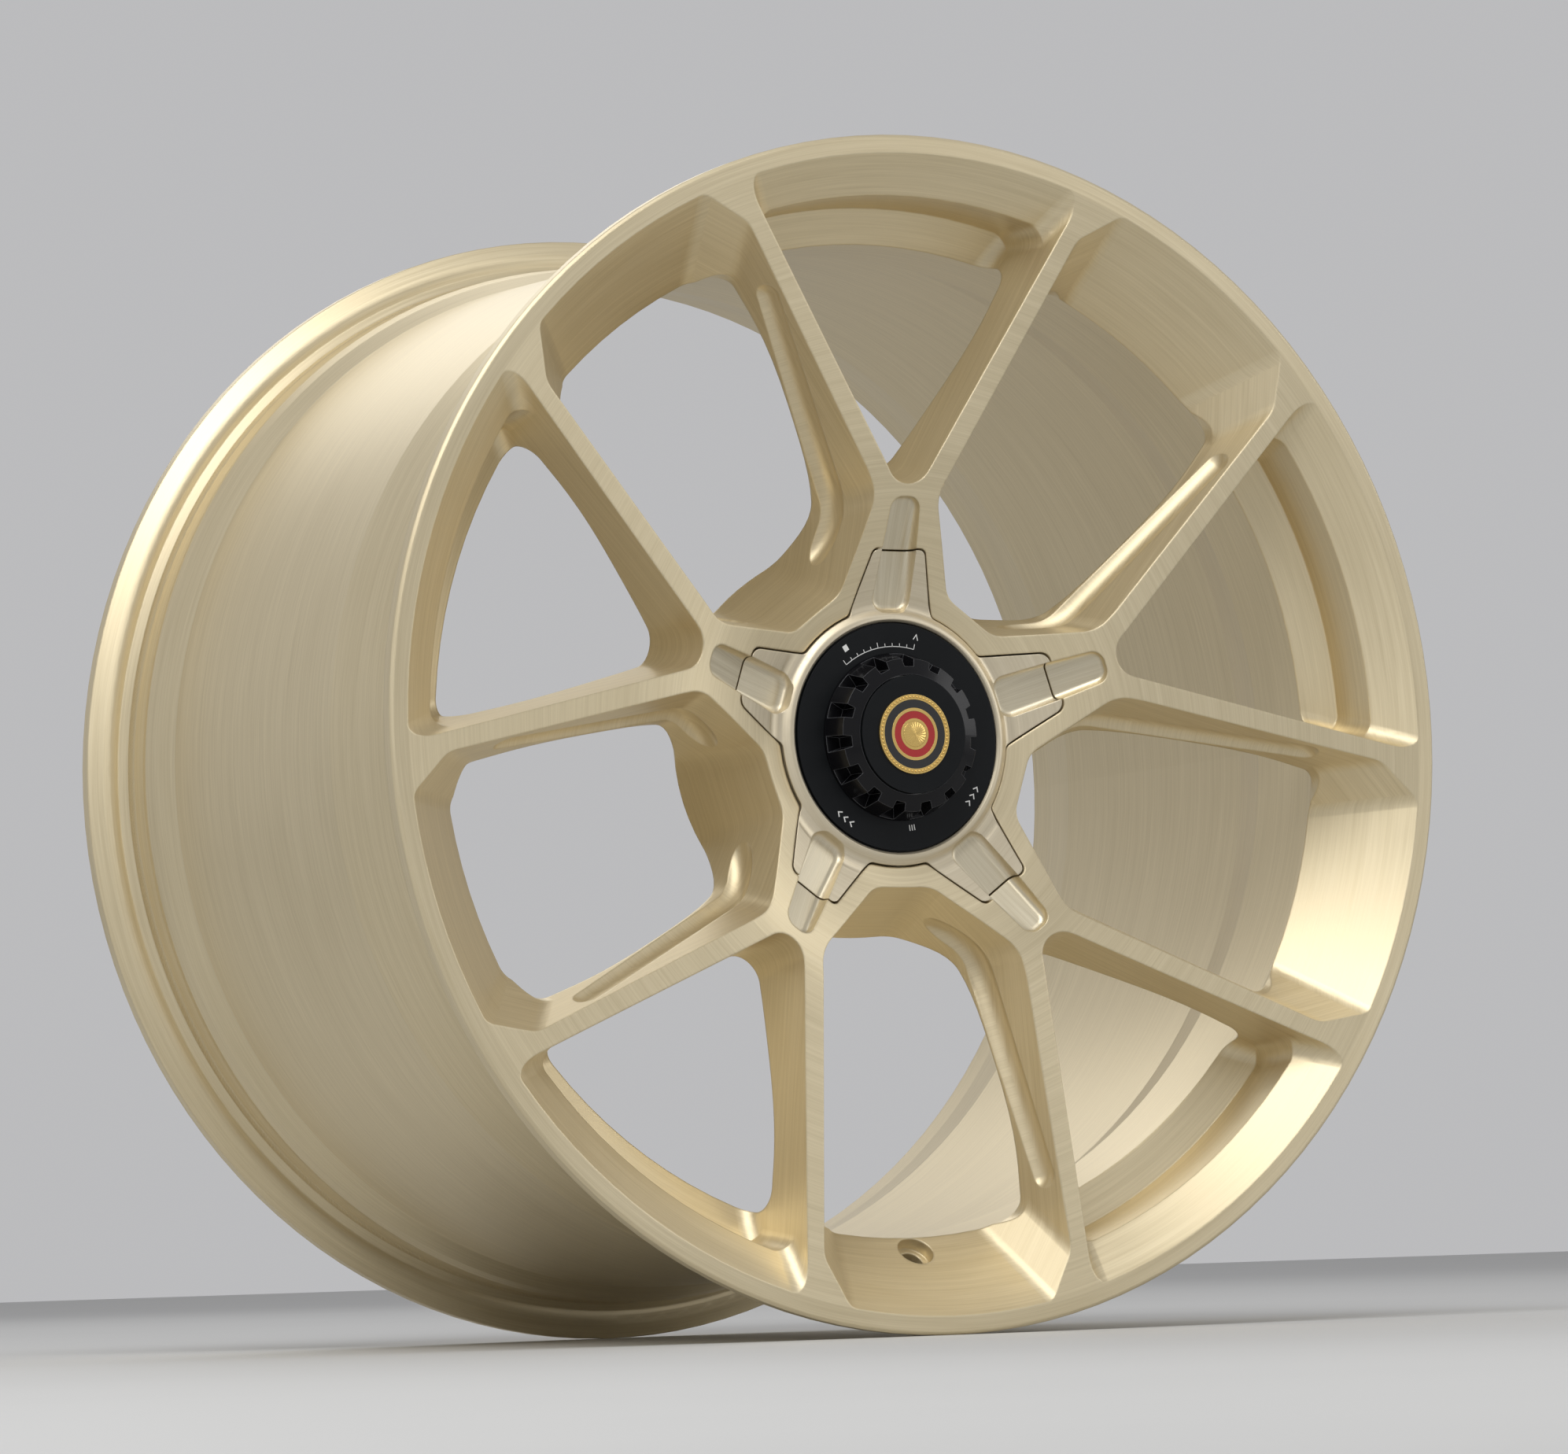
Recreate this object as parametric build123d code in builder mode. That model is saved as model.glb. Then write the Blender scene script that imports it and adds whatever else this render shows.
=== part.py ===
"""Forged racing wheel rim with a star cover, a captive toothed lock nut and a pull-off centre cap.

Millimetres. The wheel turns about Y, its front face looks towards -Y and +Z is up. The origin is
the centre of the rim: on the axis, half-way between the outer planes of the two flanges. Sections
are given as (radius, depth), where depth is measured rearwards from the front flange's outer plane.
"""
import os
from math import atan2, cos, radians, sin, tan

from build123d import *

# ---------------------------------------------------------------- overall sizes
WIDTH = 356.5                 # over both flanges: 13 J between them
HALF_WIDTH = WIDTH / 2
FLANGE_R = 284.2              # flange outer radius of a 21 inch rim
FLANGE_T = 13.15              # outer plane to bead side
BEAD_R = 266.5                # bead seat radius at the flange
SPOKES = 5
PITCH = 360 / SPOKES
OFFSET = 66.25                # rim centre line to mounting pad
PAD_D = HALF_WIDTH - OFFSET   # depth of the mounting pad
FIT = 0.05                    # radial running clearance
GAP = 0.9                     # visible joint round the star cover

# ---------------------------------------------------------------- barrel
WALL = 4.6                    # barrel wall
WELL_R = 243.0                # outside of the drop well
INNER_R = WELL_R - WALL       # inside of the barrel behind the spokes
LEDGE_FRONT_R = 254.5
LEDGE_REAR_R = 258.5
LIP_BACK_R = 277.5            # inner edge of the rear flange's face
RIM_FACE_R = 275.4            # inner edge of the flat front face
EDGE = 1.4                    # chamfer of the flange edges

# ---------------------------------------------------------------- spoke disc
CONE_R = 128.0                # the front surface is a shallow cone outside this radius
CONE_D = 15.3
FRONT_CURVE = [(113.0, 19.2), (90.0, 27.4), (74.0, 34.1)]
HUB_FACE_R = 60.0
HUB_FACE_D = 39.2
BACK_CURVE = [(222.0, 31.0), (200.0, 31.8), (158.0, 41.5), (120.0, 56.5)]
BACK_ROOT_R = 12.0            # blend of the spokes' back into the barrel
HUB_BACK_R = 93.0             # widest place of the hub's back
HUB_BACK_D = 88.0
PAD_R = 80.0
BORE_R = 35.8                 # centre bore

# ---------------------------------------------------------------- windows, as lines at a depth
# A window is drawn in its own frame: s runs outwards along its middle line, w is half its width.
DRAFT_D0 = 20.0               # depth at which the lines below hold
DRAFT_D1 = 90.0
WIDE_HUB_S = (65.7, 93.9)     # hub side of the wide window at the two depths
WIDE_SLANT = (76.4, 25.8, 47.0)    # a point on the slanted wall and its angle from the s axis
WIDE_ARM = (131.7, 55.1, 3.4)      # a point on the arm wall and its angle
SLANT_SHIFT = 16.5            # how far each wall moves into the window between the two depths
ARM_SHIFT = 21.0
NARROW_ARM = (172.5, 37.4, 30.5)
NARROW_SHIFT = 12.1
FAR_S = 300.0
SLANT_FILLET = 14.0
ARM_FILLET = 18.0
CHAMFER = 14.5                # facet between arm wall and rim wall
CHAMFER_FILLET = 10.0
FACET_DEPTHS = (8.0, 36.0)     # places on its edges
FORK_FILLET = 12.0
NARROW_FILLET = 8.0           # between its arm walls and the rim wall
NARROW_DEPTHS = (5.0, 30.0, 45.0)    # places on ridge, cove and lip
WIDE_RIM = [(237.0, 42.0)]                                   # back edge of the smooth rim wall
NARROW_RIM = [(257.2, 14.5), (255.0, 40.0), (237.8, 47.9)]   # ridge, cove and lip of the other

# ---------------------------------------------------------------- flutes milled in the arm walls
FLUTE_R = 9.0
FLUTE_OUT = (210.0, 55.4, 13.5)      # (s, w, depth) where the ball-nose cutter enters
FLUTE_BEND = (116.0, 43.2, 41.5)     # end of its straight run
FLUTE_END = (94.0, 20.8, 53.0)       # end of the arc that follows

# ---------------------------------------------------------------- valve hole
VALVE_R = 5.75
VALVE_SPOT_R = 9.0
VALVE_MOUTH = (244.5, 33.8)
VALVE_TILT = 42.4             # from radial, towards the front
VALVE_LEN = 7.5
VALVE_SPOT = 6.5

# ---------------------------------------------------------------- turning fits
THREAD_R = 33.0               # thread modelled at one radius
SLEEVE_WALL = 4.9
SLEEVE_R = THREAD_R + SLEEVE_WALL
SLEEVE_GAP = 0.5              # round the nut's sleeve
CLIP_REACH = 4.1              # beyond the sleeve
CLIP_R = SLEEVE_R + CLIP_REACH
NUT_R = 54.4
NUT_GAP = 0.8                 # round the nut's flange

# ---------------------------------------------------------------- lug holes
LUG_PCD = 130.0
LUG_HOLE_R = 7.5
LUG_POCKET_R = 14.0
LUG_FLOOR_D = 96.0
LUG_SEAT_T = 7.0
LUG_CONE_T = 6.0              # depth of the conical seat
LUG_CONE_ANGLE = 30.0         # from its axis
POCKET_R = 11.0
POCKET_DEPTH = 10.0

# ---------------------------------------------------------------- star cover
SEAT_D = 48.0                 # floor of the star recess
COLLAR_W = 6.1                # beside the nut's opening
COLLAR_R = NUT_R + NUT_GAP + COLLAR_W
DOWEL_S = LUG_PCD / 2 + LUG_POCKET_R + 5.0
ARM_TIP_S = DOWEL_S + 4.9
ARM_TIP_W = 13.7
ARM_ROOT_S = 40.0
ARM_ROOT_W = 27.0
TIP_FILLET = 5.5
ROOT_FILLET = 4.0
COVER_RIM_R = NUT_R + NUT_GAP
COVER_EDGE = 1.2
COVER_SHAPE = [(1.2, 35.0), (3.2, 35.4), (6.4, 37.4), (9.3, 37.6), (13.8, 36.1)]    # from the opening
COVER_SLOPE = 11.3 / 27.0     # fall of the arms
COVER_TOP = [(COVER_RIM_R + w, d) for w, d in COVER_SHAPE]
COVER_END_R = ARM_TIP_S + 7.1
COVER_END = (COVER_END_R, COVER_TOP[-1][1] - COVER_SLOPE * (COVER_END_R - COVER_TOP[-1][0]))
LEDGE_R = SLEEVE_R + SLEEVE_GAP    # bore of the inner ledge
LEDGE_D = 42.0
# pockets milled across the joint: distance out, depth of the floor and half width at both ends
COVER_SLOT = [(COVER_RIM_R + 6.0, 42.5, 10.4), (98.0, 32.3, 9.2)]
WHEEL_SLOT = [(80.0, 39.4, 10.2), (115.0, 22.1, 7.7)]
SLOT_FILLET = 6.5             # corners of the outline
SLOT_FLOOR_FILLET = 3.5
SLOT_REACH = 30.0
DOWEL_R = 3.0
DOWEL_TOP_D = 41.0
DOWEL_END_D = SEAT_D + 8.0

# ---------------------------------------------------------------- threaded carrier
CAVITY_CLEAR = 4.0            # round the nut's clip
CAVITY_R = CLIP_R + CAVITY_CLEAR
CAVITY_D = 76.0
CARRIER_WALL = 6.0
CARRIER_BORE_R = THREAD_R - CARRIER_WALL
CARRIER_TOP_D = SEAT_D - 3.0
CARRIER_FLANGE_T = 7.0
CARRIER_PCD = 2 * (THREAD_R + 7.5)
SCREW_R = 2.5
SCREW_HEAD_R = 4.25
SCREW_HEAD_T = 5.0
SCREW_REACH = 9.0             # into the wheel
KEY_R = 2.3                   # hexagon socket, centre to corner
KEY_T = 2.5

# ---------------------------------------------------------------- lock nut
NUT_FACE_D = 35.2
NUT_FLANGE_T = 5.3
SLEEVE_END_D = SEAT_D + 10.0
CLIP_D = SEAT_D + 0.1         # just behind the cover's ledge
CLIP_T = 1.6
CLIP_GROOVE = 1.2
CLIP_GAP = 8.0
WEB_R = 16.0
SEAL_D = 38.2
SEAL_T = 1.8                  # square section of the seal's groove
SEAL_GAP = 0.2                # left between the seal and the cover
THRUST_W = 9.4
THRUST_R = NUT_R - THRUST_W

# ---------------------------------------------------------------- toothed drive ring and cap
TEETH = 15
DRIVE_R = 40.0
DRIVE_TOP_R = 36.6
DRIVE_TOP_D = 23.0
DRIVE_CROWN_R = 28.6
DRIVE_CROWN_D = 20.6
DRIVE_FOOT_D = 34.4
DRIVE_SINK = 1.0
DRIVE_FLOOR_D = 30.0
NOTCH_W_IN = 5.0
NOTCH_W_OUT = 8.5
NOTCH_R = 32.6
NOTCH_D = 33.6
DRIVE_PCD = 44.0
DRIVE_HEAD_SINK = 3.6
CAP_GAP = 0.4
CAP_R = DRIVE_CROWN_R - CAP_GAP
CAP_D = 19.3
CAP_T = 3.0
CAP_SKIRT_D = 27.5
CAP_SKIRT_T = 2.2
SPRING_T = 1.6                # square section of the snap ring
MEDAL_R = 19.0
MEDAL_T = 1.4
MEDAL_SINK = 0.6
ENAMEL_T = 0.5
ENAMEL_RED = (7.5, 11.0)      # inner and outer radius of the enamel bands
ENAMEL_BLACK = (12.5, 16.5)


def y_at(depth):
    """Y of a place this far behind the front flange's outer plane."""
    return depth - HALF_WIDTH


def face_plane(depth):
    """Plane across the axis, local x to +X and local y to +Z, facing the front."""
    return Plane.XZ.offset(HALF_WIDTH - depth)


def section(points):
    """(radius, depth) pairs as points of the XY plane."""
    return [(r, y_at(d)) for r, d in points]


def vertex_near(shape, r, depth):
    return shape.vertices().sort_by_distance((r, y_at(depth), 0))[0]


def edge_near(shape, point):
    return shape.edges().sort_by_distance(point)[0]


def edges_near(shape, points):
    """The edge nearest each point, none of them twice."""
    found = []
    for point in points:
        edge = edge_near(shape, point)
        if not any(edge.is_same(other) for other in found):
            found.append(edge)
    return found


def ring(r_in, r_out, d_front, d_back):
    """Plain ring, added to the open part."""
    with BuildSketch(face_plane(d_back)) as disc:
        Circle(r_out)
        if r_in > 0:
            Circle(r_in, mode=Mode.SUBTRACT)
    extrude(disc.sketch, amount=d_back - d_front)


def bore(radius, d_front, d_back):
    """Round hole about the axis, cut from the open part."""
    with BuildSketch(face_plane(d_back)) as disc:
        Circle(radius)
    extrude(disc.sketch, amount=d_back - d_front, mode=Mode.SUBTRACT)


def around(radius, turn=0.0):
    """Places on a circle about the axis: the first one points up."""
    places = []
    for k in range(SPOKES):
        a = radians(turn + PITCH * k)
        places.append((radius * sin(a), radius * cos(a)))
    return places


def holes(radius, pcd, d_front, d_back, turn=0.0, mode=Mode.SUBTRACT):
    """Ring of parallel round holes or pegs in the open part."""
    with BuildSketch(face_plane(d_back)) as discs:
        with Locations(*around(pcd / 2, turn)):
            Circle(radius)
    extrude(discs.sketch, amount=d_back - d_front, mode=mode)


def crossing(line_a, line_b):
    """Where two lines meet; a line is (s, w, angle from the s axis)."""
    sa, wa, ta = line_a
    sb, wb, tb = line_b
    ka = tan(radians(ta))
    kb = tan(radians(tb))
    s = (wb - wa + ka * sa - kb * sb) / (ka - kb)
    return s, wa + ka * (s - sa)


def shifted(line, distance):
    """The line moved sideways, towards the middle of its window."""
    s, w, t = line
    return s + distance * sin(radians(t)), w - distance * cos(radians(t)), t


def wide_corners(share):
    """Corners of one half of the wide window; share is 0 at the front depth, 1 at the back."""
    slant = shifted(WIDE_SLANT, SLANT_SHIFT * share)
    arm = shifted(WIDE_ARM, ARM_SHIFT * share)
    hub_s = WIDE_HUB_S[0] + (WIDE_HUB_S[1] - WIDE_HUB_S[0]) * share
    k = tan(radians(slant[2]))
    corners = [(hub_s, slant[1] + k * (hub_s - slant[0]))]
    corners.append(crossing(slant, arm))
    corners.append((FAR_S, arm[1] + tan(radians(arm[2])) * (FAR_S - arm[0])))
    return corners


def narrow_corners(share):
    """Corners of one half of the narrow window."""
    arm = shifted(NARROW_ARM, NARROW_SHIFT * share)
    k = tan(radians(arm[2]))
    return [(arm[0] - arm[1] / k, 0.0), (FAR_S, arm[1] + k * (FAR_S - arm[0]))]


def outline(corners):
    """Closed window outline in sketch coordinates: both halves, no doubled middle corner."""
    right = [(w, s) for s, w in corners]
    left = [(-w, s) for s, w in reversed(corners) if w > 0]
    return right + left


def share_at(depth):
    return (depth - DRAFT_D0) / (DRAFT_D1 - DRAFT_D0)


def corner_point(corners, index, depth, side=1):
    s, w = corners(share_at(depth))[index]
    return side * w, y_at(depth), s


def window(corners, d_front, d_back):
    """Tapered prism between two depths, in the open part."""
    ends = []
    for depth in (d_front, d_back):
        with BuildSketch(face_plane(depth)) as end:
            Polygon(*outline(corners(share_at(depth))), align=None)
        ends.append(end.sketch)
    loft(ends, ruled=True)


def envelope(rim, d_front, d_back):
    """Body of revolution inside the rim wall, kept as the limit of a window."""
    r1, d1 = rim[0]
    r_out = RIM_FACE_R - (r1 - RIM_FACE_R) / d1 * -d_front
    points = [(0, d_front), (r_out, d_front)] + rim + [(rim[-1][0], d_back), (0, d_back)]
    with BuildSketch(Plane.XY) as half:
        Polygon(*section(points), align=None)
    revolve(half.sketch, axis=Axis.Y, mode=Mode.INTERSECT)


def rim_radius(rim, depth):
    """Radius of the rim wall at a depth."""
    points = [(RIM_FACE_R, 0.0)] + rim
    for (r0, d0), (r1, d1) in zip(points, points[1:]):
        if depth <= d1:
            return r0 + (r1 - r0) * (depth - d0) / (d1 - d0)
    return points[-1][0]


def rim_corner(corners, rim, side, depth=20.0):
    """Point on the edge between an arm wall and the rim wall."""
    r = rim_radius(rim, depth)
    s0, w0 = corners(share_at(depth))[-2]
    s1, w1 = corners(share_at(depth))[-1]
    s = s1
    for _ in range(20):
        w = w0 + (w1 - w0) * (s - s0) / (s1 - s0)
        s = (r * r - w * w) ** 0.5
    return side * w, y_at(depth), s


def beside(corner, corners, distance, side):
    """Points this far from a rim corner: one down the arm wall, one along the rim wall."""
    (s0, w0), (s1, w1) = corners(share_at(corner[1] + HALF_WIDTH))[-2:]
    along = distance / ((s1 - s0) ** 2 + (w1 - w0) ** 2) ** 0.5
    arm_spot = (corner[0] - side * (w1 - w0) * along, corner[1], corner[2] - (s1 - s0) * along)
    turn = side * distance / (corner[0] ** 2 + corner[2] ** 2) ** 0.5
    rim_spot = (corner[0] * cos(turn) - corner[2] * sin(turn), corner[1],
                corner[2] * cos(turn) + corner[0] * sin(turn))
    return arm_spot, rim_spot


FRONT_OUT = -6.0
WIDE_BACK = 90.0
NARROW_BACK = 110.0

with BuildPart() as wide_cut:
    window(wide_corners, FRONT_OUT, WIDE_BACK)
    for side in (1, -1):
        fillet(edge_near(wide_cut, corner_point(wide_corners, 0, 60, side)), SLANT_FILLET)
        fillet(edge_near(wide_cut, corner_point(wide_corners, 1, 60, side)), ARM_FILLET)
    envelope(WIDE_RIM, FRONT_OUT, WIDE_BACK)
    for side in (1, -1):
        chamfer(edge_near(wide_cut, rim_corner(wide_corners, WIDE_RIM, side)), CHAMFER)
        spots = []
        for depth in FACET_DEPTHS:
            corner = rim_corner(wide_corners, WIDE_RIM, side, depth)
            spots += beside(corner, wide_corners, CHAMFER, side)
        fillet(edges_near(wide_cut, spots), CHAMFER_FILLET)

with BuildPart() as narrow_cut:
    window(narrow_corners, FRONT_OUT, NARROW_BACK)
    fillet(edge_near(narrow_cut, corner_point(narrow_corners, 0, 40)), FORK_FILLET)
    envelope(NARROW_RIM, FRONT_OUT, NARROW_BACK)
    spots = []
    for side in (1, -1):
        for depth in NARROW_DEPTHS:
            spots.append(rim_corner(narrow_corners, NARROW_RIM, side, depth))
    fillet(edges_near(narrow_cut, spots), NARROW_FILLET)

with BuildPart() as flute_cut:
    flute_points = [Vector(w, y_at(d), s) for s, w, d in (FLUTE_OUT, FLUTE_BEND, FLUTE_END)]
    with BuildLine() as flute_line:
        Line(flute_points[0], flute_points[1])
        TangentArc(flute_points[1:], tangent=flute_points[1] - flute_points[0])
    start = flute_points[0]
    with BuildSketch(Plane(origin=start, z_dir=flute_points[1] - start)):
        Circle(FLUTE_R)
    sweep(path=flute_line.line)
    with Locations(start):
        Sphere(FLUTE_R)
    mirror(about=Plane.YZ)


def star(clearance):
    """Outline of the star cover, grown by a clearance; drawn in the open sketch."""
    flare = (ARM_ROOT_W - ARM_TIP_W) / (ARM_TIP_S - ARM_ROOT_S)
    root = ARM_ROOT_W + clearance
    tip = ARM_TIP_W + clearance - clearance * flare
    Circle(COLLAR_R + clearance)
    for k in range(SPOKES):
        corners = [(-root, ARM_ROOT_S), (-tip, ARM_TIP_S + clearance),
                   (tip, ARM_TIP_S + clearance), (root, ARM_ROOT_S)]
        with Locations(Rotation(0, 0, PITCH * k)):
            Polygon(*corners, align=None)


def cut_around(tool, turn=0.0):
    """Takes the tool out of the open part once per spoke."""
    for k in range(SPOKES):
        add(Rot(0, turn + PITCH * k, 0) * tool, mode=Mode.SUBTRACT)


def slot_tool(ends):
    """Tapered pocket with rounded corners and a sloping floor, open to the front."""
    (s_in, floor_in, w_in), (s_out, floor_out, w_out) = ends
    slope = atan2(floor_in - floor_out, s_out - s_in)
    reach = (s_out - s_in) / cos(slope)
    base = Plane(origin=(0, y_at(floor_in), s_in), x_dir=(1, 0, 0), z_dir=(0, -cos(slope), -sin(slope)))
    with BuildPart() as pocket:
        with BuildSketch(base) as pocket_floor:
            Polygon((-w_in, 0), (w_in, 0), (w_out, reach), (-w_out, reach), align=None)
            fillet(pocket_floor.vertices(), SLOT_FILLET)
        extrude(amount=SLOT_REACH)
        floor_face = pocket.faces().filter_by(Plane(base.origin, z_dir=base.z_dir)).sort_by(Axis.Y)[-1]
        fillet(floor_face.edges(), SLOT_FLOOR_FILLET)
    return pocket.part


def is_tip(vertex):
    """Corners at the ends of the star's arms."""
    return vertex.X ** 2 + vertex.Z ** 2 > (COLLAR_R + 10) ** 2


def is_root(vertex):
    return not is_tip(vertex)


wheel_points = [
    (BORE_R, PAD_D),
    (PAD_R, PAD_D),
    (HUB_BACK_R, HUB_BACK_D),
]
back_points = [(HUB_BACK_R, HUB_BACK_D)] + BACK_CURVE[::-1]
barrel_points = [
    BACK_CURVE[0],
    (INNER_R, BACK_CURVE[0][1]),
    (INNER_R, 88.0),
    (247.5, 118.0),
    (LEDGE_REAR_R - WALL - 0.4, WIDTH - 60.5),
    (BEAD_R - 9.0, WIDTH - 34.5),
    (BEAD_R - 7.5, WIDTH - 16.5),
    (BEAD_R + 2.5, WIDTH - 5.5),
    (LIP_BACK_R, WIDTH),
    (FLANGE_R - EDGE, WIDTH),
    (FLANGE_R, WIDTH - EDGE),
    (FLANGE_R, WIDTH - 7.0),
    (275.0, WIDTH - FLANGE_T),
    (BEAD_R, WIDTH - FLANGE_T),
    (BEAD_R - 1.6, WIDTH - FLANGE_T - 19.0),
    (BEAD_R - 0.6, WIDTH - FLANGE_T - 24.0),
    (BEAD_R - 2.4, WIDTH - FLANGE_T - 31.0),
    (LEDGE_REAR_R, WIDTH - 56.5),
    (LEDGE_FRONT_R, 128.0),
    (WELL_R, 78.0),
    (WELL_R, 54.0),
    (262.0, 43.5),
    (BEAD_R - 0.6, 37.0),
    (BEAD_R - 1.6, 32.0),
    (BEAD_R, FLANGE_T),
    (275.0, FLANGE_T),
    (FLANGE_R, 7.0),
    (FLANGE_R, EDGE),
    (FLANGE_R - EDGE, 0.0),
    (RIM_FACE_R, 0.0),
    (CONE_R, CONE_D),
]
front_points = [(CONE_R, CONE_D)] + FRONT_CURVE + [(HUB_FACE_R, HUB_FACE_D)]
core_points = [(HUB_FACE_R, HUB_FACE_D), (BORE_R, HUB_FACE_D + 4), (BORE_R, PAD_D)]
ROUNDED = [
    ((INNER_R, BACK_CURVE[0][1]), BACK_ROOT_R),
    ((275.0, WIDTH - FLANGE_T), 9.0),
    ((275.0, FLANGE_T), 9.0),
    ((WELL_R, 78.0), 30.0),
]
BROKEN = [
    ((BEAD_R, WIDTH - FLANGE_T), 3.5),
    ((BEAD_R, FLANGE_T), 3.5),
    ((WELL_R, 54.0), 5.0),
]

with BuildPart() as wheel:
    with BuildSketch(Plane.XY) as wheel_half:
        with BuildLine():
            Polyline(*section(wheel_points))
            Spline(*section(back_points))
            Polyline(*section(barrel_points))
            Spline(*section(front_points))
            Polyline(*section(core_points))
        make_face()
        for (r, d), radius in ROUNDED:
            fillet(vertex_near(wheel_half, r, d), radius)
        for (r, d), length in BROKEN:
            chamfer(vertex_near(wheel_half, r, d), length)
    revolve(axis=Axis.Y)
    # windows, narrow ones in line with the star's arms and wide ones between them
    cut_around(narrow_cut.part)
    cut_around(wide_cut.part, PITCH / 2)
    cut_around(flute_cut.part, PITCH / 2)
    # star recess, cavity of the carrier and lug pockets
    with BuildSketch(face_plane(SEAT_D)) as recess:
        star(GAP)
        fillet(recess.vertices().filter_by(is_tip), TIP_FILLET)
        fillet(recess.vertices().filter_by(is_root), ROOT_FILLET)
    extrude(amount=SEAT_D, mode=Mode.SUBTRACT)
    bore(CAVITY_R, SEAT_D - 1, CAVITY_D)
    cut_around(slot_tool(WHEEL_SLOT))
    holes(LUG_POCKET_R, LUG_PCD, SEAT_D - 1, LUG_FLOOR_D)
    holes(LUG_HOLE_R, LUG_PCD, LUG_FLOOR_D - 1, PAD_D + 1)
    holes(POCKET_R, LUG_PCD, PAD_D - POCKET_DEPTH, PAD_D + 1, PITCH / 2)
    holes(DOWEL_R + FIT, 2 * DOWEL_S, SEAT_D - 1, DOWEL_END_D + 1)
    holes(SCREW_R, CARRIER_PCD, CAVITY_D - 1, CAVITY_D + SCREW_REACH + 2)
    # valve hole in the lowest wide window, with flat spots for the valve's seal and nut
    valve_way = (0, -sin(radians(VALVE_TILT)), cos(radians(VALVE_TILT)))
    valve_in = (0, y_at(VALVE_MOUTH[1]), -VALVE_MOUTH[0])
    valve_plane = Plane(origin=valve_in, x_dir=(1, 0, 0), z_dir=valve_way)
    with BuildSketch(valve_plane.offset(-30)) as valve_hole:
        Circle(VALVE_R)
    extrude(valve_hole.sketch, amount=60, mode=Mode.SUBTRACT)
    with BuildSketch(valve_plane.offset(-VALVE_SPOT)) as valve_inside:
        Circle(VALVE_SPOT_R)
    extrude(valve_inside.sketch, amount=30, mode=Mode.SUBTRACT)
    with BuildSketch(valve_plane.offset(-VALVE_SPOT - VALVE_LEN)) as valve_outside:
        Circle(VALVE_SPOT_R)
    extrude(valve_outside.sketch, amount=-30, mode=Mode.SUBTRACT)

with BuildPart() as lug_seats:
    holes(LUG_POCKET_R, LUG_PCD, LUG_FLOOR_D - LUG_SEAT_T, LUG_FLOOR_D, mode=Mode.ADD)
    holes(LUG_HOLE_R, LUG_PCD, LUG_FLOOR_D - LUG_SEAT_T - 1, LUG_FLOOR_D + 1)
    with BuildSketch(face_plane(LUG_FLOOR_D - LUG_SEAT_T + LUG_CONE_T)) as cone_feet:
        with Locations(*around(LUG_PCD / 2)):
            Circle(LUG_HOLE_R)
    extrude(cone_feet.sketch, amount=LUG_CONE_T, taper=-LUG_CONE_ANGLE, mode=Mode.SUBTRACT)


def key_socket(pcd, d_top):
    """Hexagon sockets in a ring of screw heads of the open part."""
    with BuildSketch(face_plane(d_top + KEY_T)) as keys:
        with Locations(*around(pcd / 2)):
            RegularPolygon(KEY_R, 6)
    extrude(keys.sketch, amount=KEY_T + 1, mode=Mode.SUBTRACT)


CARRIER_FLANGE_D = CAVITY_D - CARRIER_FLANGE_T
HEAD_FLOOR_D = CARRIER_FLANGE_D + SCREW_HEAD_T

with BuildPart() as carrier:
    ring(0, CAVITY_R - FIT, CARRIER_FLANGE_D, CAVITY_D)
    ring(0, THREAD_R, CARRIER_TOP_D, CARRIER_FLANGE_D)
    bore(CARRIER_BORE_R, CARRIER_TOP_D - 1, CAVITY_D + 1)
    holes(SCREW_R, CARRIER_PCD, CARRIER_FLANGE_D, CAVITY_D + 1)
    holes(SCREW_HEAD_R + FIT, CARRIER_PCD, CARRIER_FLANGE_D - 1, HEAD_FLOOR_D)

with BuildPart() as carrier_screws:
    holes(SCREW_R, CARRIER_PCD, HEAD_FLOOR_D - 1, CAVITY_D + SCREW_REACH, mode=Mode.ADD)
    holes(SCREW_HEAD_R, CARRIER_PCD, CARRIER_FLANGE_D, HEAD_FLOOR_D, mode=Mode.ADD)
    key_socket(CARRIER_PCD, CARRIER_FLANGE_D)

# ---------------------------------------------------------------- star cover
with BuildPart() as cover:
    with BuildSketch(Plane.XY):
        with BuildLine():
            Polyline(*section([COVER_TOP[-1], COVER_END, (COVER_END[0], SEAT_D), (LEDGE_R, SEAT_D),
                               (LEDGE_R, LEDGE_D), (COVER_RIM_R, LEDGE_D),
                               (COVER_RIM_R, COVER_TOP[0][1] + COVER_EDGE), COVER_TOP[0]]))
            Spline(*section(COVER_TOP))
        make_face()
    revolve(axis=Axis.Y)
    with BuildSketch(face_plane(SEAT_D)) as cover_star:
        star(0)
        fillet(cover_star.vertices().filter_by(is_tip), TIP_FILLET)
        fillet(cover_star.vertices().filter_by(is_root), ROOT_FILLET)
    extrude(amount=SEAT_D, mode=Mode.INTERSECT)
    cut_around(slot_tool(COVER_SLOT))
    holes(DOWEL_R, 2 * DOWEL_S, DOWEL_TOP_D, SEAT_D + 1)

with BuildPart() as cover_dowels:
    holes(DOWEL_R, 2 * DOWEL_S, DOWEL_TOP_D, DOWEL_END_D, mode=Mode.ADD)

with BuildPart() as thrust_ring:
    ring(THRUST_R, NUT_R - FIT, NUT_FACE_D + NUT_FLANGE_T, LEDGE_D)

# ---------------------------------------------------------------- lock nut
NUT_BACK_D = NUT_FACE_D + NUT_FLANGE_T
DRIVE_BASE_D = NUT_FACE_D + DRIVE_SINK

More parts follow.
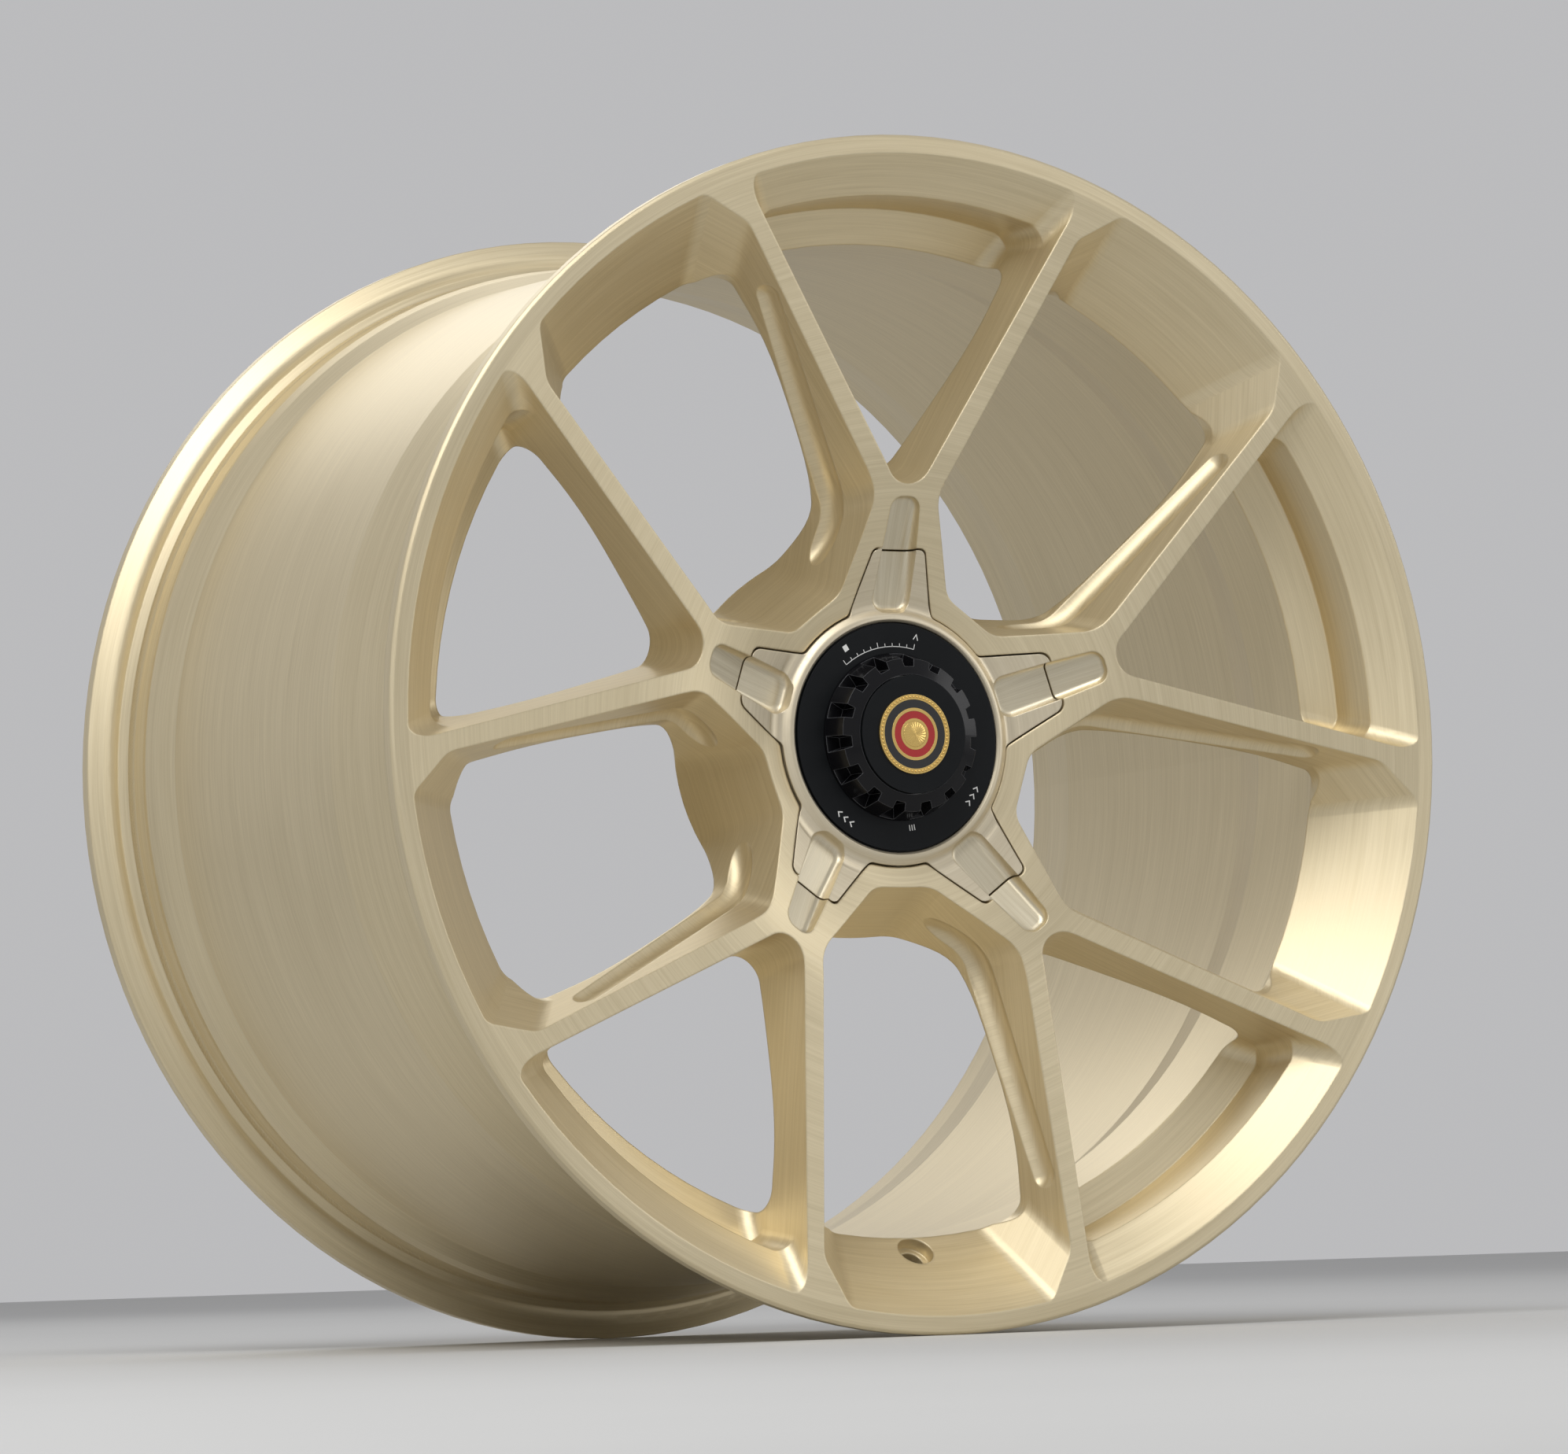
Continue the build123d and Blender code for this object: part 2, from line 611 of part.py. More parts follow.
with BuildPart() as lock_nut:
    ring(0, NUT_R, NUT_FACE_D, NUT_BACK_D)
    ring(0, SLEEVE_R, NUT_BACK_D, SLEEVE_END_D)
    bore(THREAD_R + FIT, NUT_BACK_D, SLEEVE_END_D + 1)
    bore(WEB_R, NUT_FACE_D - 1, NUT_BACK_D + 1)
    bore(DRIVE_R + FIT, NUT_FACE_D - 1, DRIVE_BASE_D)
    holes(SCREW_R, DRIVE_PCD, DRIVE_BASE_D - 1, NUT_BACK_D + 1)
    with BuildSketch(Plane.XY):
        with Locations((NUT_R, y_at(SEAL_D))):
            Rectangle(SEAL_T, SEAL_T)
        with Locations((SLEEVE_R, y_at(CLIP_D + CLIP_T / 2))):
            Rectangle(2 * CLIP_GROOVE, CLIP_T)
    revolve(axis=Axis.Y, mode=Mode.SUBTRACT)

with BuildPart() as nut_seal:
    ring(NUT_R - SEAL_T / 2, COVER_RIM_R - SEAL_GAP, SEAL_D - SEAL_T / 2, SEAL_D + SEAL_T / 2)

with BuildPart() as nut_clip:
    ring(SLEEVE_R - CLIP_GROOVE, CLIP_R, CLIP_D, CLIP_D + CLIP_T)
    with Locations((0, y_at(CLIP_D + CLIP_T / 2), -CLIP_R)):
        Box(CLIP_GAP, 2 * CLIP_T, 2 * CLIP_GAP, mode=Mode.SUBTRACT)

with BuildPart() as drive_ring:
    with BuildSketch(Plane.XY):
        Polygon(*section([(WEB_R, DRIVE_BASE_D), (DRIVE_R, DRIVE_BASE_D), (DRIVE_R, DRIVE_FOOT_D),
                          (DRIVE_TOP_R, DRIVE_TOP_D), (DRIVE_CROWN_R, DRIVE_CROWN_D),
                          (DRIVE_CROWN_R, DRIVE_FLOOR_D), (WEB_R, DRIVE_FLOOR_D)]), align=None)
    revolve(axis=Axis.Y)
    with BuildSketch(face_plane(NOTCH_D)):
        for k in range(TEETH):
            with Locations(Rotation(0, 0, 360 / TEETH * k)):
                Polygon((-NOTCH_W_IN / 2, NOTCH_R), (NOTCH_W_IN / 2, NOTCH_R),
                        (NOTCH_W_OUT / 2, DRIVE_R + 1), (-NOTCH_W_OUT / 2, DRIVE_R + 1), align=None)
    extrude(amount=NOTCH_D, mode=Mode.SUBTRACT)
    holes(SCREW_R, DRIVE_PCD, DRIVE_FLOOR_D, DRIVE_BASE_D + 1)
    holes(SCREW_HEAD_R + FIT, DRIVE_PCD, DRIVE_FLOOR_D - 1, DRIVE_FLOOR_D + DRIVE_HEAD_SINK)

with BuildPart() as drive_screws:
    head_floor = DRIVE_FLOOR_D + DRIVE_HEAD_SINK
    holes(SCREW_R, DRIVE_PCD, head_floor - 1, NUT_BACK_D, mode=Mode.ADD)
    holes(SCREW_HEAD_R, DRIVE_PCD, DRIVE_FLOOR_D, head_floor, mode=Mode.ADD)
    key_socket(DRIVE_PCD, DRIVE_FLOOR_D)

# ---------------------------------------------------------------- centre cap
CAP_BORE_R = DRIVE_CROWN_R
SKIRT_R = CAP_R - 0.6
SPRING_D = CAP_SKIRT_D - SPRING_T
SPRING_OUT_R = CAP_BORE_R - FIT

with BuildPart() as cap:
    ring(0, CAP_R, CAP_D, CAP_D + CAP_T)
    ring(SKIRT_R - CAP_SKIRT_T, SKIRT_R, CAP_D + CAP_T, CAP_SKIRT_D)
    bore(MEDAL_R, CAP_D - 1, CAP_D + MEDAL_SINK)
    with BuildSketch(Plane.XY):
        with Locations((SPRING_OUT_R, y_at(SPRING_D))):
            Rectangle(2 * SPRING_T, SPRING_T)
    revolve(axis=Axis.Y, mode=Mode.SUBTRACT)

with BuildPart() as cap_spring:
    ring(SPRING_OUT_R - SPRING_T, SPRING_OUT_R, SPRING_D - SPRING_T / 2, SPRING_D + SPRING_T / 2)

MEDAL_D = CAP_D + MEDAL_SINK - MEDAL_T

with BuildPart() as medallion:
    ring(0, MEDAL_R, MEDAL_D, CAP_D + MEDAL_SINK)
    with BuildSketch(face_plane(MEDAL_D + ENAMEL_T)):
        for r_in, r_out in (ENAMEL_RED, ENAMEL_BLACK):
            with BuildSketch(mode=Mode.PRIVATE) as band:
                Circle(r_out)
                Circle(r_in, mode=Mode.SUBTRACT)
            add(band.sketch)
    extrude(amount=ENAMEL_T + 1, mode=Mode.SUBTRACT)

with BuildPart() as enamel_red:
    ring(ENAMEL_RED[0], ENAMEL_RED[1], MEDAL_D + 0.1, MEDAL_D + ENAMEL_T)

with BuildPart() as enamel_black:
    ring(ENAMEL_BLACK[0], ENAMEL_BLACK[1], MEDAL_D + 0.1, MEDAL_D + ENAMEL_T)

# ---------------------------------------------------------------- export
PARTS = {
    "wheel": wheel,
    "lug_seats": lug_seats,
    "carrier": carrier,
    "carrier_screws": carrier_screws,
    "cover": cover,
    "cover_dowels": cover_dowels,
    "thrust_ring": thrust_ring,
    "lock_nut": lock_nut,
    "nut_clip": nut_clip,
    "nut_seal": nut_seal,
    "drive_ring": drive_ring,
    "drive_screws": drive_screws,
    "cap": cap,
    "cap_spring": cap_spring,
    "medallion": medallion,
    "enamel_red": enamel_red,
    "enamel_black": enamel_black,
}

os.makedirs("parts", exist_ok=True)
for name, piece in PARTS.items():
    piece.part.label = name
    export_step(piece.part, f"parts/{name}.step")
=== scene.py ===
"""Looks, small details, light and camera for the forged racing wheel rim.

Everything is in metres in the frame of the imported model: the wheel turns about Y, its front face
looks towards -Y and +Z is up. A place on the face is given as (radius, angle), with the angle in
degrees from +X towards +Z, as seen from the front.
"""
import math

import bmesh
import bpy
from mathutils import Matrix, Vector


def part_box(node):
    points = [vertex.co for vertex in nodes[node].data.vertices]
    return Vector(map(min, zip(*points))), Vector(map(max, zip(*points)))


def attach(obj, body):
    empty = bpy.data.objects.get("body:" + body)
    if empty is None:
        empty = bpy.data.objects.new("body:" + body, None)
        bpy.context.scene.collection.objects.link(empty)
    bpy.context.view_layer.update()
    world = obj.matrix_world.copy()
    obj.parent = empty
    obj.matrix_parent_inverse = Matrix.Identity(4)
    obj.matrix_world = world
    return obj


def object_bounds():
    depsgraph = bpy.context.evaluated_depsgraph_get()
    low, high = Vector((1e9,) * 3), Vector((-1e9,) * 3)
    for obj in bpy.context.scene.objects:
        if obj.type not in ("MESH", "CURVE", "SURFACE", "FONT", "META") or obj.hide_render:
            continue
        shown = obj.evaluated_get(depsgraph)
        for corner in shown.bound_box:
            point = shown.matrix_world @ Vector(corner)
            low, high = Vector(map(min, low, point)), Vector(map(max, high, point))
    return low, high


MM = 0.001

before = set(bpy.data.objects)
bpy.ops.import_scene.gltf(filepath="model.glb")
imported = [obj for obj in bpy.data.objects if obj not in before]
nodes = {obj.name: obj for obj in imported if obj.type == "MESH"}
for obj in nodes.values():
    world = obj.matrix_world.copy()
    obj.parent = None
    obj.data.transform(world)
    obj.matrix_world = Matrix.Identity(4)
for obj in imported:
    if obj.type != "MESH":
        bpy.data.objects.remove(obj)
cad_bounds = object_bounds()


# ---------------------------------------------------------------- material helpers
EDGE_GLINT_GAIN = 4.0  # how fast the painted glint on an edge turns pale as its rounded normal leaves the face's
CREASE_RAMP = 1.3 * MM  # half the width over which the crease's offset changes its sign
FRONT_FACING = 0.9  # share of a normal along the axis, above which it belongs to the front
FACE_FACING = 0.6  # the same, above which brushing runs round a face instead of along a wall
BRUSHED_METALLIC = 0.75
QUARTER_TURN = 0.25
SLOT_MIDDLE_R = 90 * MM  # where an angle is turned into a width across a slot
GRAIN_LAYERS = ((1700, 22, 0.5), (560, 11, 0.38), (110, 4, 0.12))  # across, along, weight
STREAK_SHARE, CLOUD_SHARE = 0.8, 0.2
GRAIN_CONTRAST = 2.6


class Recipe:
    """A principled material and short ways to wire nodes into it."""

    def __init__(self, name, colour, metallic, roughness, **constants):
        self.material = bpy.data.materials.new(name)
        self.material.use_nodes = True
        self.tree = self.material.node_tree
        self.shader = self.tree.nodes["Principled BSDF"]
        self.shader.inputs["Base Color"].default_value = (*colour, 1)
        self.shader.inputs["Metallic"].default_value = metallic
        self.shader.inputs["Roughness"].default_value = roughness
        for socket, value in constants.items():
            self.shader.inputs[socket.replace("_", " ")].default_value = value
        self.colour = colour
        self.roughness = roughness
        self.coords = self.tree.nodes.new("ShaderNodeTexCoord")

    def link(self, source, target):
        self.tree.links.new(source, target)

    def math(self, operation, a, b=0.0, clamp=False):
        node = self.tree.nodes.new("ShaderNodeMath")
        node.operation = operation
        node.use_clamp = clamp
        for socket, value in zip(node.inputs, (a, b)):
            if isinstance(value, (int, float)):
                socket.default_value = value
            else:
                self.link(value, socket)
        return node.outputs[0]

    def plus(self, a, b, clamp=False):
        return self.math("ADD", a, b, clamp)

    def minus(self, a, b, clamp=False):
        return self.math("SUBTRACT", a, b, clamp)

    def times(self, a, b, clamp=False):
        return self.math("MULTIPLY", a, b, clamp)

    def split(self, vector):
        node = self.tree.nodes.new("ShaderNodeSeparateXYZ")
        self.link(vector, node.inputs[0])
        return node.outputs

    def join(self, x, y, z):
        node = self.tree.nodes.new("ShaderNodeCombineXYZ")
        for socket, value in zip(node.inputs, (x, y, z)):
            if isinstance(value, float):
                socket.default_value = value
            else:
                self.link(value, socket)
        return node.outputs[0]

    def noise(self, vector, scale=1.0, detail=2.0, roughness=0.5):
        node = self.tree.nodes.new("ShaderNodeTexNoise")
        node.inputs["Scale"].default_value = scale
        node.inputs["Detail"].default_value = detail
        node.inputs["Roughness"].default_value = roughness
        self.link(vector, node.inputs["Vector"])
        return node.outputs["Fac"]

    def ramp(self, factor, low, high):
        """Linear change from low to high as the factor goes from 0 to 1."""
        node = self.tree.nodes.new("ShaderNodeMapRange")
        node.inputs["To Min"].default_value = low
        node.inputs["To Max"].default_value = high
        self.link(factor, node.inputs["Value"])
        return node.outputs[0]

    def blend(self, factor, light):
        """Makes the base colour a mix that ends in a lighter one, and returns its first socket."""
        node = self.tree.nodes.new("ShaderNodeMix")
        node.data_type = "RGBA"
        self.link(factor, node.inputs["Factor"])
        node.inputs["B"].default_value = (*light, 1)
        self.link(node.outputs["Result"], self.shader.inputs["Base Color"])
        return node.inputs["A"]

    def tint(self, factor, dark, light):
        """Base colour between two shades of the recipe's colour."""
        low, high = ([c * d for c, d in zip(self.colour, shade)] for shade in (dark, light))
        self.blend(factor, high).default_value = (*low, 1)

    def rough(self, factor, spread):
        """Roughness that varies by a spread to both sides of the recipe's."""
        low, high = self.roughness - spread, self.roughness + spread
        self.link(self.ramp(factor, low, high), self.shader.inputs["Roughness"])

    def bump(self, height, strength, depth):
        """Bumps the shading by a height, and returns the node for soft_edges."""
        node = self.tree.nodes.new("ShaderNodeBump")
        node.inputs["Strength"].default_value = strength
        node.inputs["Distance"].default_value = depth
        self.link(height, node.inputs["Height"])
        self.link(node.outputs[0], self.shader.inputs["Normal"])
        return node

    def vector(self, operation, a, b=None):
        node = self.tree.nodes.new("ShaderNodeVectorMath")
        node.operation = operation
        self.link(a, node.inputs[0])
        if b is not None:
            self.link(b, node.inputs["Scale" if operation == "SCALE" else 1])
        return node.outputs["Value" if operation == "DOT_PRODUCT" else "Vector"]

    def soft_edges(self, bump, radius, crease=None):
        """Rounds the shading of sharp edges beneath a bump, and of a crease given as an offset.

        Returns the rounded normal without that offset.
        """
        node = self.tree.nodes.new("ShaderNodeBevel")
        node.samples = 5
        node.inputs["Radius"].default_value = radius
        normal = node.outputs[0]
        if crease is not None:
            normal = self.vector("NORMALIZE", self.vector("ADD", normal, crease))
        self.link(normal, bump.inputs["Normal"])
        return node.outputs[0]

    def paint_edge_glints(self, rounded, shade):
        """Paints a highlight: mixes a paler glint colour into the base colour where the rounded
        normal leaves the face's.
        """
        geometry = self.tree.nodes.new("ShaderNodeNewGeometry")
        same = self.vector("DOT_PRODUCT", rounded, geometry.outputs["Normal"])
        glint_share = self.times(self.minus(1.0, same), EDGE_GLINT_GAIN, clamp=True)
        below = self.shader.inputs["Base Color"].links[0].from_socket
        self.link(below, self.blend(glint_share, shade))

    def crease_offset(self, x, z, radius, facing, place, reach, step):
        """Offset that eases the front face's change of slope at a radius, to both sides of it."""
        away = self.minus(place, radius)
        distance = self.math("ABSOLUTE", away)
        fade = self.minus(1.0, self.math("DIVIDE", distance, reach), clamp=True)
        side = self.math("MINIMUM", self.math("DIVIDE", away, CREASE_RAMP), 1.0)
        side = self.math("MAXIMUM", side, -1.0)
        front = self.math("GREATER_THAN", facing, FRONT_FACING)
        size = self.times(self.times(fade, side), self.times(front, step))
        outward = self.vector("NORMALIZE", self.join(x, 0.0, z))
        return self.vector("SCALE", outward, size)


def brushed(name, colour, roughness, edge=0.6 * MM, grain=1.0, lengthwise=False, crease=None):
    """Metal brushed in rings: fine lines round the axis on faces, and at one depth on walls.

    Brushed lengthwise, the lines run away from the axis instead. A crease is given as
    (radius, reach, step).
    """
    turn = QUARTER_TURN if lengthwise else 0.0
    made = Recipe(name, colour, BRUSHED_METALLIC, roughness,
                  Anisotropic=0.5, Anisotropic_Rotation=turn)
    x, y, z = made.split(made.coords.outputs["Object"])
    radius = made.math("SQRT", made.plus(made.times(x, x), made.times(z, z)))
    facing = made.math("ABSOLUTE", made.split(made.coords.outputs["Normal"])[1])
    if lengthwise:
        across = made.times(made.math("ARCTAN2", z, x), SLOT_MIDDLE_R)
        along = (radius, y)
    else:
        on_face = made.math("GREATER_THAN", facing, FACE_FACING)
        across = made.plus(made.times(radius, on_face), made.times(y, made.minus(1.0, on_face)))
        along = (x, z)
    layers = []
    for fine, long, weight in GRAIN_LAYERS:
        lines = made.join(made.times(along[0], long), made.times(across, fine),
                          made.times(along[1], long))
        layers.append(made.times(made.noise(lines), weight))
    streak = made.plus(made.plus(layers[0], layers[1]), layers[2])
    cloud = made.noise(made.coords.outputs["Object"], scale=9, detail=3)
    shade = made.plus(made.times(streak, STREAK_SHARE), made.times(cloud, CLOUD_SHARE))
    steeper = made.times(made.minus(shade, 0.5), GRAIN_CONTRAST * grain)
    contrast = made.plus(steeper, 0.5, clamp=True)
    made.tint(contrast, (0.86, 0.84, 0.79), (1.07, 1.08, 1.10))
    made.rough(contrast, 0.06)
    offset = made.crease_offset(x, z, radius, facing, *crease) if crease else None
    made.soft_edges(made.bump(streak, 0.25 * grain, 0.1 * MM), edge, offset)
    tangent = made.tree.nodes.new("ShaderNodeTangent")
    tangent.direction_type = "RADIAL"
    tangent.axis = "Y"
    made.link(tangent.outputs[0], made.shader.inputs["Tangent"])
    return made.material


def coated(name, colour, roughness, peel, depth, coat=0.0, metallic=0.0, edge=0.3 * MM,
           ior=1.45, edge_glint=None):
    """Paint, anodising or enamel with faint handling marks and orange peel of a size and depth."""
    made = Recipe(name, colour, metallic, roughness,
                  Coat_Weight=coat, Coat_Roughness=0.08, IOR=ior)
    where = made.coords.outputs["Object"]
    grain = made.noise(where, scale=1 / peel, detail=3)
    marks = made.noise(where, scale=60, detail=4, roughness=0.7)
    made.tint(marks, (0.85, 0.85, 0.85), (1.2, 1.2, 1.2))
    made.rough(marks, roughness * 0.25)
    rounded = made.soft_edges(made.bump(grain, 0.2, depth), edge)
    # painted highlight: a paler colour along the rounded edges stands in for glints
    if edge_glint:
        made.paint_edge_glints(rounded, edge_glint)
    return made.material


def rubber(name, colour):
    """Dull rubber with a fine moulded grain."""
    made = Recipe(name, colour, 0.0, 0.75)
    where = made.coords.outputs["Object"]
    made.tint(made.noise(where, scale=400, detail=3), (0.7, 0.7, 0.7), (1.3, 1.3, 1.3))
    made.bump(made.noise(where, scale=2500, detail=2), 0.4, 0.05 * MM)
    return made.material


CREASE_R, CREASE_REACH, CREASE_STEP = 128 * MM, 22 * MM, 0.055

GOLD = brushed("brushed_gold", (0.78, 0.675, 0.46), 0.42, edge=1.3 * MM,
               crease=(CREASE_R, CREASE_REACH, CREASE_STEP))
PALE_GOLD = brushed("brushed_pale_gold", (0.75, 0.665, 0.50), 0.40, edge=0.8 * MM)
MILLED = brushed("milled_floor", (0.74, 0.67, 0.51), 0.40, grain=1.2, lengthwise=True)
MEDAL = brushed("gold_plate", (0.86, 0.60, 0.20), 0.22, edge=0.15 * MM, grain=0.5)
STEEL = brushed("zinc_steel", (0.62, 0.62, 0.60), 0.35, edge=0.2 * MM)
BLACK_STEEL = coated("black_oxide_steel", (0.03, 0.03, 0.032), 0.4, peel=0.5 * MM,
                     depth=0.03 * MM, metallic=0.6, edge=0.15 * MM)
ANODISED = coated("black_anodised", (0.02, 0.02, 0.022), 0.42, peel=0.4 * MM,
                  depth=0.02 * MM, metallic=0.4)
SATIN = coated("satin_black", (0.005, 0.006, 0.007), 0.36, peel=0.35 * MM,
               depth=0.03 * MM, ior=1.28)
# the glossy black's edges carry a painted grey glint in the base colour
GLOSS = coated("gloss_black", (0.004, 0.004, 0.005), 0.22, peel=1.2 * MM, depth=0.02 * MM,
               coat=0.15, edge=0.5 * MM, ior=1.28, edge_glint=(0.16, 0.165, 0.175))
RED = coated("red_enamel", (0.42, 0.012, 0.012), 0.12, peel=1.5 * MM, depth=0.01 * MM,
             coat=0.8, edge=0.1 * MM)
BLACK_ENAMEL = coated("black_enamel", (0.010, 0.010, 0.010), 0.12, peel=1.5 * MM,
                      depth=0.01 * MM, coat=0.8, edge=0.1 * MM)
PRINT = coated("white_print", (0.78, 0.78, 0.76), 0.55, peel=0.3 * MM, depth=0.01 * MM,
               edge=0.02 * MM)
SEAL = rubber("seal_rubber", (0.02, 0.02, 0.02))

FINISH = {
    "wheel": GOLD,
    "lug_seats": STEEL,
    "carrier": ANODISED,
    "carrier_screws": STEEL,
    "cover": PALE_GOLD,
    "cover_dowels": STEEL,
    "thrust_ring": STEEL,
    "lock_nut": SATIN,
    "nut_clip": STEEL,
    "nut_seal": SEAL,
    "drive_ring": GLOSS,
    "drive_screws": BLACK_STEEL,
    "cap": SATIN,
    "cap_spring": STEEL,
    "medallion": MEDAL,
    "enamel_red": RED,
    "enamel_black": BLACK_ENAMEL,
}

for name, material in FINISH.items():
    mesh = nodes[name].data
    mesh.materials.clear()
    mesh.materials.append(material)


# ---------------------------------------------------------------- milled floors of the ten slots
ARM_TURNS = [math.radians(72 * k) for k in range(5)]
FRONT_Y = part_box("wheel")[0].y
SLOTS = {"wheel": ((80.0, 39.4), (115.0, 22.1)), "cover": ((61.2, 42.5), (98.0, 32.3))}
SLOT_HALF = 10.6 * MM
INNER_REACH = 1.0 * MM  # how far a floor may begin before its inner end
FLOOR_BAND = 2.0 * MM  # how far a face may lie in front of the floor
FLOOR_FACING = 0.75


def on_slot_floor(centre, normal, ends):
    """Whether a face lies on a sloping floor with ends at (distance out, depth), in mm."""
    (s0, d0), (s1, d1) = ends
    slope = (d0 - d1) / (s1 - s0)
    for turn in ARM_TURNS:
        out = Vector((math.sin(turn), 0, math.cos(turn)))
        side = Vector((math.cos(turn), 0, -math.sin(turn)))
        s = centre.dot(out)
        inside = s0 * MM - INNER_REACH < s < s1 * MM and abs(centre.dot(side)) < SLOT_HALF
        floor_y = FRONT_Y + d0 * MM - slope * (s - s0 * MM)
        up = (Vector((0, -1, 0)) - slope * out).normalized()
        if inside and centre.y > floor_y - FLOOR_BAND and normal.dot(up) > FLOOR_FACING:
            return True
    return False


for name, ends in SLOTS.items():
    mesh = nodes[name].data
    mesh.materials.append(MILLED)
    milled = len(mesh.materials) - 1
    for face in mesh.polygons:
        if on_slot_floor(face.center, face.normal, ends):
            face.material_index = milled


# ---------------------------------------------------------------- piece helpers
def add_piece(name, mesh_maker, material, body, smooth=False):
    """Makes one mesh object with the given maker, and sets its finish and the body it rides on."""
    shape = bmesh.new()
    mesh_maker(shape)
    bmesh.ops.recalc_face_normals(shape, faces=shape.faces)
    mesh = bpy.data.meshes.new(name)
    shape.to_mesh(mesh)
    shape.free()
    for face in mesh.polygons:
        face.use_smooth = smooth
    mesh.materials.append(material)
    piece = bpy.data.objects.new(name, mesh)
    bpy.context.scene.collection.objects.link(piece)
    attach(piece, body)


def polar(radius, angle):
    """Point of the plane y = 0 at a radius and an angle in degrees."""
    a = math.radians(angle)
    return Vector((radius * math.cos(a), 0, radius * math.sin(a)))


def plate(shape, outline, y_front, y_back):
    """Flat plate with an outline of (x, z) points, between two depths."""
    front = [shape.verts.new((p.x, y_front, p.z)) for p in outline]
    back = [shape.verts.new((p.x, y_back, p.z)) for p in outline]
    shape.faces.new(front)
    shape.faces.new(back[::-1])
    for k in range(len(outline)):
        n = (k + 1) % len(outline)
        shape.faces.new((front[k], back[k], back[n], front[n]))


def stroke(points, width):
    """Outline of a line of one width through the given points, mitred where it bends."""
    left, right = [], []
    for k, p in enumerate(points):
        before = (p - points[max(k - 1, 0)]).normalized()
        after = (points[min(k + 1, len(points) - 1)] - p).normalized()
        along = (before + after).normalized()
        side = Vector((-along.z, 0, along.x))
        mitre = side.dot(Vector((-after.z, 0, after.x))) if after.length else 1.0
        reach = width / 2 / max(mitre, 0.5)
        left.append(p + side * reach)
        right.append(p - side * reach)
    return left + right[::-1]


# ---------------------------------------------------------------- printed marks on the nut's dial
dial_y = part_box("lock_nut")[0].y
PRINT_T = 0.04 * MM

# radii and lengths in mm, angles in degrees
SCALE_R, SCALE_FROM, SCALE_TO = 43.3, 128.0, 76.0
SCALE_POINTS = 40
TICKS, LONG_EVERY, LONG_TICK, SHORT_TICK = 10, 5, 2.6, 1.6
SQUARE_R, SQUARE_LENGTH, SQUARE_WIDTH, SQUARE_AT = 48.3, 3.0, 2.6, 122.5
POINTER_R, POINTER_LENGTH, POINTER_HALF, POINTER_AT = 48.0, 2.6, 1.5, 76.0
BAR_R, BAR_LENGTH, BAR_PITCH, BAR_AT = 42.4, 2.8, 1.7, 278.5
ARROW_R, ARROW_HALF, ARROW_BACK, ARROW_LEAD, ARROW_PITCH = 49.2, 1.5, 2.1, 1.4, 4.6
ARROWS = ((233, -1), (325, 1))  # the middle arrow's angle, and the way that all three point
FINE, MEDIUM, BOLD = 0.35, 0.5, 0.6


def mark(width, *places):
    """Outline of a line through places given as (radius, angle)."""
    return stroke([polar(radius * MM, angle) for radius, angle in places], width * MM)


def dial_marks(shape):
    """A scale with a stop square and a pointer, bars at the foot, and arrows to both sides."""
    span = SCALE_TO - SCALE_FROM
    marks = [mark(FINE, *[(SCALE_R, SCALE_FROM + span * k / SCALE_POINTS)
                          for k in range(SCALE_POINTS + 1)])]
    for k in range(TICKS + 1):
        angle = SCALE_FROM + span * k / TICKS
        length = SHORT_TICK if k % LONG_EVERY else LONG_TICK
        marks.append(mark(FINE, (SCALE_R, angle), (SCALE_R + length, angle)))
    marks.append(mark(SQUARE_WIDTH, (SQUARE_R, SQUARE_AT), (SQUARE_R + SQUARE_LENGTH, SQUARE_AT)))
    marks.append(mark(MEDIUM, (POINTER_R, POINTER_AT - POINTER_HALF),
                      (POINTER_R + POINTER_LENGTH, POINTER_AT),
                      (POINTER_R, POINTER_AT + POINTER_HALF)))
    for k in (-1, 0, 1):
        angle = BAR_AT + BAR_PITCH * k
        marks.append(mark(MEDIUM, (BAR_R, angle), (BAR_R + BAR_LENGTH, angle)))
    for middle, way in ARROWS:
        for k in (-1, 0, 1):
            tip = middle + way * ARROW_LEAD + ARROW_PITCH * k
            foot = tip - way * ARROW_BACK
            marks.append(mark(BOLD, (ARROW_R - ARROW_HALF, foot), (ARROW_R, tip),
                              (ARROW_R + ARROW_HALF, foot)))
    for outline in marks:
        plate(shape, outline, dial_y - PRINT_T, dial_y)


add_piece("dial_marks", dial_marks, PRINT, "nut")


# ---------------------------------------------------------------- medallion ornament
medal_low, medal_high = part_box("medallion")
medal_y, medal_r = medal_low.y, medal_high.x
BEADS, BEAD_R, BEAD_INSET = 60, 0.6 * MM, 1.25 * MM
RAYS, ROSETTE_R, ROSETTE_HEIGHT = 24, 6.2 * MM, 0.8 * MM
ROSETTE_RINGS = 8
VALLEY = 0.55  # height of the valleys at the rosette's edge, as a share of its rays'


def beaded_rim(shape):
    """Small beads between the outer enamel band and the medallion's edge."""
    for k in range(BEADS):
        middle = polar(medal_r - BEAD_INSET, 360 / BEADS * k) + Vector((0, medal_y, 0))
        bmesh.ops.create_icosphere(shape, subdivisions=2, radius=BEAD_R,
                                   matrix=Matrix.Translation(middle))


